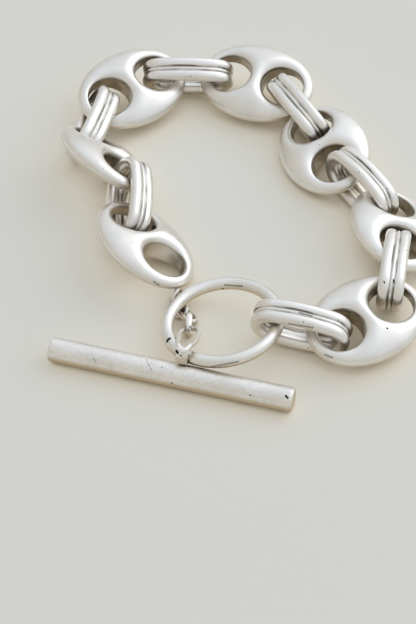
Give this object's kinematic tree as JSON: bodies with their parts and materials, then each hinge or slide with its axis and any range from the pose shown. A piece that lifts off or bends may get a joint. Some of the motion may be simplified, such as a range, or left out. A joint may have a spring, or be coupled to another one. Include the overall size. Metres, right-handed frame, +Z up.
{
  "type": "link bracelet with toggle clasp",
  "caption": "Silver bracelet of puffed oval links with paired holes, joined by ridged oval connectors and closed by a ring and bar toggle.",
  "frame": {"origin": "middle of the closed bracelet's outline, on the surface that it lies on", "axes": "+Z up, -Y towards the clasp bar and the viewer, +X to the viewer's right"},
  "size_m": [0.0544, 0.069, 0.0094],
  "materials": {
    "polished_silver": "polished sterling silver, softly worn, with dark tarnish in pits, grooves and joints",
    "satin_silver": "satin sterling silver with fine scratches and a few dark pits"
  },
  "bodies": {
    "root": {"toggle_bar": "satin_silver", "toggle_ring": "satin_silver", "puffed_link_1": "polished_silver", "puffed_link_2": "polished_silver", "puffed_link_3": "polished_silver", "puffed_link_4": "polished_silver", "puffed_link_5": "polished_silver", "puffed_link_6": "polished_silver", "puffed_link_7": "polished_silver", "connector_1": "polished_silver", "connector_2": "polished_silver", "connector_3": "polished_silver", "connector_4": "polished_silver", "connector_5": "polished_silver", "connector_6": "polished_silver", "connector_7": "polished_silver", "small_link_1": "satin_silver", "small_link_2": "satin_silver", "small_link_3": "satin_silver"}
  },
  "joints": []
}
